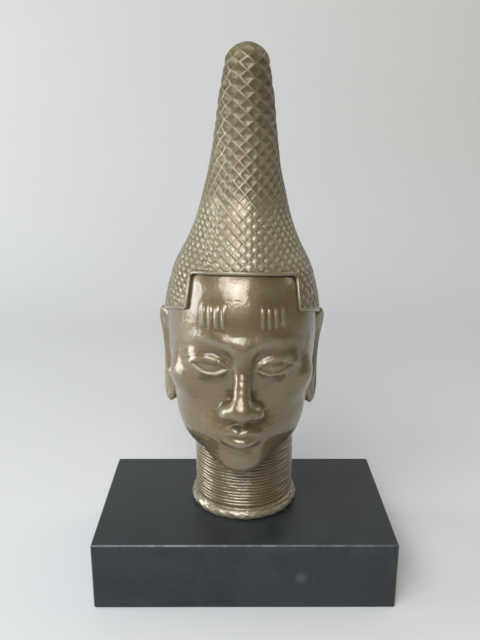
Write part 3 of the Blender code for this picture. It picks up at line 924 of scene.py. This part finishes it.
def make_collar():
    """Stacked cord-like rings, slightly uneven."""
    inner = COLLAR_RADIUS - RING_DEPTH
    profile = [(0, RINGS_FROM_Z + RING_PITCH * RINGS)]
    for ring in range(RINGS, 0, -1):
        upper = RINGS_FROM_Z + RING_PITCH * ring
        for share, depth in RING_PROFILE:
            profile.append((COLLAR_RADIUS - RING_DEPTH * depth, upper - RING_PITCH * share))
    profile += [(inner, RINGS_FROM_Z), (inner, COLLAR_FOOT_Z), (0, COLLAR_FOOT_Z)]

    def wobble(radius, z, turn):
        ring = np.floor((z - RINGS_FROM_Z) / RING_PITCH)
        return 0.16 * np.sin(3 * turn + 2.3 * ring) + 0.10 * np.sin(13 * turn + 1.7 * ring)

    return lathe("collar", profile, LATHE_STEPS, wobble)


def make_band():
    """The flange and the rolled band below it, lumpy as if pressed by hand."""
    profile = [(0, RINGS_FROM_Z - 0.2), (COLLAR_RADIUS - 1.5, RINGS_FROM_Z - 0.2)]
    profile += [(FLANGE_RADIUS - 0.5, RINGS_FROM_Z - 0.6), (FLANGE_RADIUS, RINGS_FROM_Z - 1.4)]
    for angle in BAND_ANGLES:
        x = BAND_MIDDLE + BAND_RADIUS * math.cos(math.radians(angle))
        profile.append((x, BAND_RADIUS * (1 + math.sin(math.radians(angle)))))
    profile += [(BAND_MIDDLE, 0), (0, 0)]

    def wobble(radius, z, turn):
        lump = 0.26 * np.sin(9 * turn + 1.0) + 0.24 * np.sin(23 * turn + z) + 0.12 * np.sin(41 * turn - z)
        return (lump - 0.45) * ramp(radius, BAND_MIDDLE, BAND_MIDDLE + BAND_RADIUS)

    return lathe("band", profile, 2 * LATHE_STEPS, wobble)


def make_beads():
    """Small uneven beads round the flange, as separate closed balls in one mesh."""
    shape = bmesh.new()
    for number in range(BEADS):
        angle = 2 * math.pi * (number + 0.22 * math.sin(number * 2.7)) / BEADS
        size = BEAD_RADIUS * (0.85 + 0.30 * math.sin(number * 2.4) * math.sin(number * 0.37 + 1))
        z = BEAD_Z + 0.35 * math.sin(number * 1.9)
        place = Vector((FLANGE_RADIUS * math.sin(angle), NECK_Y - FLANGE_RADIUS * math.cos(angle), z))
        turned = Matrix.Rotation(angle, 4, "Z") @ Matrix.Diagonal(BEAD_SHAPE)
        matrix = Matrix.Translation(place) @ turned
        bmesh.ops.create_icosphere(shape, subdivisions=2, radius=size, matrix=matrix)
    points = np.array([vertex.co[:] for vertex in shape.verts])
    faces = [[vertex.index for vertex in side.verts] for side in shape.faces]
    shape.free()
    return add_mesh("beads", on_plinth(points), faces)


def use_boolean(thing, other, operation):
    """Cut an object by another or join it on, and drop the other."""
    modifier = thing.modifiers.new(other.name, "BOOLEAN")
    modifier.operation = operation
    modifier.object = other
    modifier.solver = "MANIFOLD"
    graph = bpy.context.evaluated_depsgraph_get()
    mesh = bpy.data.meshes.new_from_object(thing.evaluated_get(graph))
    thing.modifiers.clear()
    thing.data = mesh
    bpy.data.objects.remove(other)


def make_head():
    """The whole casting as one closed mesh, inside the solid head's box."""
    head = make_face()
    cap = make_cap()
    use_boolean(cap, wedge("brow_cutter", OPENING_HALF, front_edge_z), "DIFFERENCE")
    use_boolean(cap, wedge("side_cutter", CUTTER_HALF, side_edge_z), "DIFFERENCE")
    ears = [make_ear("ear_right", 1), make_ear("ear_left", -1)]
    for part in (cap, make_border(), *ears, make_collar(), make_band(), make_beads()):
        use_boolean(head, part, "UNION")
    keep_inside(head.data)
    store_curvature(head.data)
    head.data.shade_smooth()
    head.data.set_sharp_from_angle(angle=SHARP_ANGLE)
    return head


def keep_inside(mesh):
    """Draw the mesh in by a hair where it would leave the solid head's box."""
    places = read_rows(mesh.vertices, "co")
    for axis, (low, high) in enumerate(zip(*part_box("queen_head"))):
        lowest, highest = places[:, axis].min(), places[:, axis].max()
        start, end = max(lowest, low), min(highest, high)
        share = (places[:, axis] - lowest) / (highest - lowest)
        places[:, axis] = start + share * (end - start)
    move_vertices(mesh, places)


def store_curvature(mesh):
    """Store at each vertex how far it stands out from its surroundings, in millimetres."""
    places = read_rows(mesh.vertices, "co")
    normals = read_rows(mesh.vertex_normals, "vector")
    one, other = read_rows(mesh.edges, "vertices", 2).T
    size = len(places)
    count = np.maximum(np.bincount(one, minlength=size) + np.bincount(other, minlength=size), 1)

    def average(values):
        return (np.bincount(one, values[other], size) + np.bincount(other, values[one], size)) / count

    middle = places.copy()
    for name, rounds in CURVATURE_ROUNDS.items():
        for _ in range(rounds):
            middle = np.stack([average(middle[:, axis]) for axis in range(3)], -1)
        height = ((places - middle) * normals).sum(-1) * 1000
        height = (height + average(height)) / 2
        attribute = mesh.attributes.new(name, "FLOAT", "POINT")
        attribute.data.foreach_set("value", height.astype(np.float32))


# Materials


class Nodes:
    """A short way to write a material's nodes."""

    def __init__(self, name):
        self.material = bpy.data.materials.new(name)
        self.material.use_nodes = True
        self.tree = self.material.node_tree
        self.shader = self.tree.nodes["Principled BSDF"]
        self.place = self.add("ShaderNodeTexCoord").outputs["Object"]

    def add(self, kind, **settings):
        """Add a node and set its own settings."""
        node = self.tree.nodes.new(kind)
        for name, value in settings.items():
            setattr(node, name, value)
        return node

    def put(self, socket, value):
        """Link a socket to another, or set a plain value."""
        if isinstance(value, bpy.types.NodeSocket):
            self.tree.links.new(value, socket)
        else:
            socket.default_value = value

    def set(self, **given):
        """Link or set the shader's sockets, named with _ for each space."""
        for name, value in given.items():
            self.put(self.shader.inputs[name.replace("_", " ")], value)

    def axes(self):
        """The three coordinates of a place."""
        node = self.add("ShaderNodeSeparateXYZ")
        self.put(node.inputs[0], self.place)
        return node.outputs

    def stored(self, name):
        """A value that is stored at the vertices."""
        return self.add("ShaderNodeAttribute", attribute_name=name).outputs["Fac"]

    def noise(self, scale, detail=4.0, roughness=0.55, distortion=0.0):
        """Noise through space, where the scale is in waves a metre."""
        node = self.add("ShaderNodeTexNoise")
        names = ("Vector", "Scale", "Detail", "Roughness", "Distortion")
        for name, value in zip(names, (self.place, scale, detail, roughness, distortion)):
            self.put(node.inputs[name], value)
        return node.outputs["Fac"]

    def span(self, value, low, high, to_low=0.0, to_high=1.0):
        """Map one range of values on to another."""
        node = self.add("ShaderNodeMapRange", interpolation_type="SMOOTHSTEP")
        for socket, given in zip(node.inputs[:5], (value, low, high, to_low, to_high)):
            self.put(socket, given)
        return node.outputs[0]

    def mix(self, share, one, other, blend="MIX"):
        """Mix two colours."""
        node = self.add("ShaderNodeMix", data_type="RGBA", blend_type=blend)
        for number, given in ((0, share), (6, one), (7, other)):
            self.put(node.inputs[number], given)
        return node.outputs[2]

    def combine(self, one, other, operation="MULTIPLY"):
        """Multiply two numbers, or work out another number from them."""
        node = self.add("ShaderNodeMath", operation=operation)
        self.put(node.inputs[0], one)
        self.put(node.inputs[1], other)
        return node.outputs[0]

    def bump(self, height, distance, strength, after=None):
        """A bump from a height, on top of another bump."""
        node = self.add("ShaderNodeBump")
        self.put(node.inputs["Height"], height)
        self.put(node.inputs["Distance"], distance)
        self.put(node.inputs["Strength"], strength)
        if after:
            self.put(node.inputs["Normal"], after)
        return node.outputs["Normal"]


def by_level(made, levels, low, high):
    """Go from one value to another between two levels of the head."""
    first, last = (float(on_plinth(np.array([0, 0, z]))[2]) for z in levels)
    return made.span(made.axes()[2], first, last, low, high)


def bronze_ground(made, polished, patch):
    """Brown with reddish and olive patches, deeper where it is polished, and darkened by painted shade on
    the upper cap towards the tip.
    """
    shade = made.span(made.noise(11, 3), 0.38, 0.62)
    brown = made.mix(shade, (0.206, 0.174, 0.108, 1), (0.248, 0.210, 0.130, 1))
    brown = made.mix(made.span(patch, 0.5, 0.75, 0, 0.5), brown, (0.240, 0.165, 0.086, 1))
    olive = made.mix(made.span(made.noise(24, 4), 0.5, 0.72, 0, 0.5), brown, (0.192, 0.184, 0.102, 1))
    olive = made.mix(polished, olive, (0.76, 0.66, 0.52, 1), "MULTIPLY")
    # Painted shade: the upper cap's colour is darkened towards the tip
    return made.mix(by_level(made, UPPER_CAP_SHADE_Z, 0.0, 1.0), olive, (0.58, 0.53, 0.47, 1), "MULTIPLY")


def bronze_wear_and_painted_light(made, ground, polished, patch, speck, relief):
    """The ground, darkened in the creases by patina and painted shade, paler on raised relief by wear and
    a painted highlight, and paler at the tip and round the foot.
    """
    high = by_level(made, HIGH_Z, 0.0, 1.0)
    # Patina and painted shade: the creases are darkened in colour, more so on the lower cap
    crease_patina_and_shade = made.span(made.stored("crease"), -0.24, -0.04, made.span(high, 0.0, 1.0, 0.62, 0.42), 0.0)
    dark = made.mix(crease_patina_and_shade, ground, (0.080, 0.062, 0.030, 1))
    # Wear and painted highlight: raised relief is painted paler, most on the lower cap
    share = made.span(polished, 0.0, 1.0, made.span(high, 0.0, 1.0, 0.44, 0.14), 0.20)
    wear_and_highlight = made.combine(made.span(speck, 0.3, 0.6, 0.55, 1.0), made.span(relief, 0.02, 0.50, 0.0, share))
    pale = made.mix(wear_and_highlight, dark, (0.455, 0.425, 0.325, 1))
    tip = made.combine(made.span(patch, 0.3, 0.6, 0.4, 1.0), by_level(made, PALE_TIP_Z, 0.0, 0.42))
    pale = made.mix(tip, pale, (0.440, 0.420, 0.240, 1))
    foot = by_level(made, RUBBED_FOOT_Z, 0.60, 0.0)
    rubbed = made.combine(made.span(speck, 0.35, 0.65, 0.5, 1.0), foot)
    return made.mix(rubbed, pale, (0.470, 0.430, 0.330, 1))


def bronze():
    """Lacquered brown bronze, glossier on the face, with waves and fine specks in its surface."""
    made = Nodes("bronze")
    polished = by_level(made, POLISHED_Z, 1.0, 0.0)
    patch, speck = made.noise(48, 5, 0.6, 0.4), made.noise(420, 3)
    relief = made.stored("relief")
    ground = bronze_ground(made, polished, patch)
    rough = made.span(patch, 0.3, 0.7, 0.36, 0.48)
    rough = made.combine(rough, made.span(relief, -0.3, 0.0, 0.16, 0.0), "ADD")
    coat = made.span(polished, 0.0, 1.0, by_level(made, DULL_TIP_Z, 0.35, 0.05), 0.95)
    coat_rough = made.span(polished, 0.0, 1.0, 0.14, 0.0)
    coat_rough = made.combine(coat_rough, made.span(patch, 0.3, 0.7, 0.08, 0.16), "ADD")
    waved = made.bump(made.noise(150, 3, 0.55, 0.8), 0.0006, 0.50, made.bump(speck, 0.00006, 0.5))
    made.set(Base_Color=bronze_wear_and_painted_light(made, ground, polished, patch, speck, relief), Metallic=0.45)
    made.set(Roughness=rough, Normal=waved)
    made.set(Coat_Weight=coat, Coat_IOR=1.55, Coat_Roughness=coat_rough, Coat_Normal=waved)
    return made.material


def painted_wood():
    """Dark slate paint with a faint texture and a smudge, and a painted highlight along the top front
    edge that fades towards the right.
    """
    made = Nodes("plinth_paint")
    low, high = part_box("plinth")
    x, y, z = made.axes()
    grain = made.noise(30, 5, 0.6)
    paint = made.mix(made.span(grain, 0.35, 0.65), (0.020, 0.024, 0.028, 1), (0.031, 0.036, 0.041, 1))
    # Painted highlight: a pale line along the top front edge, strongest at the left where the light comes
    # from
    near_top = made.span(z, high[2] - 0.0016, high[2] - 0.0004)
    near_front = made.span(y, low[1] + 0.0004, low[1] + 0.0016, 1.0, 0.0)
    edge = made.combine(near_top, near_front)
    edge = made.combine(edge, made.span(made.noise(120, 4), 0.4, 0.62, 0.30, 0.80))
    edge = made.combine(edge, made.span(x, low[0], high[0], 1.0, 0.35))
    colour = made.mix(edge, paint, (0.32, 0.34, 0.35, 1))
    smudge = made.add("ShaderNodeVectorMath", operation="DISTANCE")
    made.put(smudge.inputs[0], made.place)
    made.put(smudge.inputs[1], (SMUDGE_X, low[1], SMUDGE_Z))
    smudged = made.span(smudge.outputs["Value"], 0.0015, 0.007, 0.16, 0.0)
    made.set(Base_Color=made.mix(smudged, colour, (0.24, 0.26, 0.27, 1)), Specular_IOR_Level=0.38)
    made.set(Roughness=made.span(grain, 0.3, 0.7, 0.38, 0.50))
    made.set(Normal=made.bump(made.noise(900, 2), 0.00006, 0.6))
    return made.material


def pale_wall():
    """Plain matt paint with a faint mottle, a little warmer up the wall than on the floor."""
    made = Nodes("pale_wall")
    wall = made.mix(made.noise(6, 3), (0.720, 0.722, 0.718, 1), (0.700, 0.702, 0.698, 1))
    floor = made.mix(made.noise(6, 3), (0.750, 0.770, 0.795, 1), (0.730, 0.750, 0.775, 1))
    share = made.span(made.axes()[2], 0.0, WALL_BEND)
    made.set(Base_Color=made.mix(share, floor, wall), Roughness=0.9)
    return made.material


def paint(thing, material):
    """Give an object one material all over."""
    thing.data.materials.clear()
    thing.data.materials.append(material)
    thing.data.polygons.foreach_set("material_index", [0] * len(thing.data.polygons))


# The scene


def make_stage():
    """A pale floor that curves up into a wall, far enough back for the head to be seen all round."""
    profile = [(-WALL_HALF, 0.0)]
    for step in range(BEND_STEPS + 1):
        angle = math.pi / 2 * step / BEND_STEPS
        profile.append((WALL_Y - WALL_BEND * (1 - math.sin(angle)), WALL_BEND * (1 - math.cos(angle))))
    profile.append((WALL_Y, WALL_HEIGHT))
    points = [(x, y, z) for x in (-WALL_HALF, WALL_HALF) for y, z in profile]
    count = len(profile)
    faces = [(k, k + count, k + count + 1, k + 1) for k in range(count - 1)]
    floor = add_mesh("backdrop", points, faces)
    floor.data.shade_smooth()
    paint(floor, pale_wall())


def make_camera():
    """The camera in front, a little lower than the cap's tip and tilted down to the head."""
    low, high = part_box("plinth")
    lens = bpy.data.cameras.new("camera")
    lens.sensor_width = SENSOR
    lens.lens = FOCAL_HEIGHTS * SENSOR
    camera = add_object("camera", lens)
    place = Matrix.Translation([share * (high[0] - low[0]) for share in CAMERA_PLACE])
    aim = Matrix.Rotation(CAMERA_TURN, 4, "Z") @ Matrix.Rotation(math.pi / 2 - CAMERA_PITCH, 4, "X")
    camera.matrix_world = place @ aim @ Matrix.Rotation(-CAMERA_ROLL, 4, "Z")
    bpy.context.scene.camera = camera


def add_light(name, turn, climb, distance, size, power, colour):
    """A square soft light that faces the head, at a turn from the camera and a climb."""
    turn, climb = math.radians(turn), math.radians(climb)
    way = Vector((math.sin(turn) * math.cos(climb), -math.cos(turn) * math.cos(climb), math.sin(climb)))
    lamp = bpy.data.lights.new(name, "AREA")
    lamp.energy = power
    lamp.size = size
    lamp.color = colour
    thing = add_object(name, lamp)
    thing.location = Vector((0, 0, LIT_Z)) + way * distance
    thing.rotation_mode = "QUATERNION"
    thing.rotation_quaternion = way.to_track_quat("Z", "Y")


def make_lights():
    """A window at the left, two ceiling lights, two lamps above the camera, and a fill at the right."""
    for name, settings in LIGHTS.items():
        add_light(name, *settings)


def make_world():
    """A faint warm fill from all round, behind which the camera sees a plain pale grey."""
    world = bpy.data.worlds.new("studio")
    bpy.context.scene.world = world
    world.use_nodes = True
    tree = world.node_tree
    fill = tree.nodes["Background"]
    fill.inputs["Color"].default_value = (1.0, 0.91, 0.70, 1)
    fill.inputs["Strength"].default_value = 0.085
    seen = tree.nodes.new("ShaderNodeBackground")
    seen.inputs["Color"].default_value = (0.62, 0.63, 0.64, 1)
    kind = tree.nodes.new("ShaderNodeLightPath")
    either = tree.nodes.new("ShaderNodeMixShader")
    tree.links.new(kind.outputs["Is Camera Ray"], either.inputs[0])
    tree.links.new(fill.outputs[0], either.inputs[1])
    tree.links.new(seen.outputs[0], either.inputs[2])
    tree.links.new(either.outputs[0], tree.nodes["World Output"].inputs["Surface"])


head = make_head()
paint(head, bronze())
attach(head, "root")
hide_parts("queen_head")

paint(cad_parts["plinth"], painted_wood())

make_stage()
make_camera()
make_lights()
make_world()
bpy.context.scene.view_settings.view_transform = "Standard"
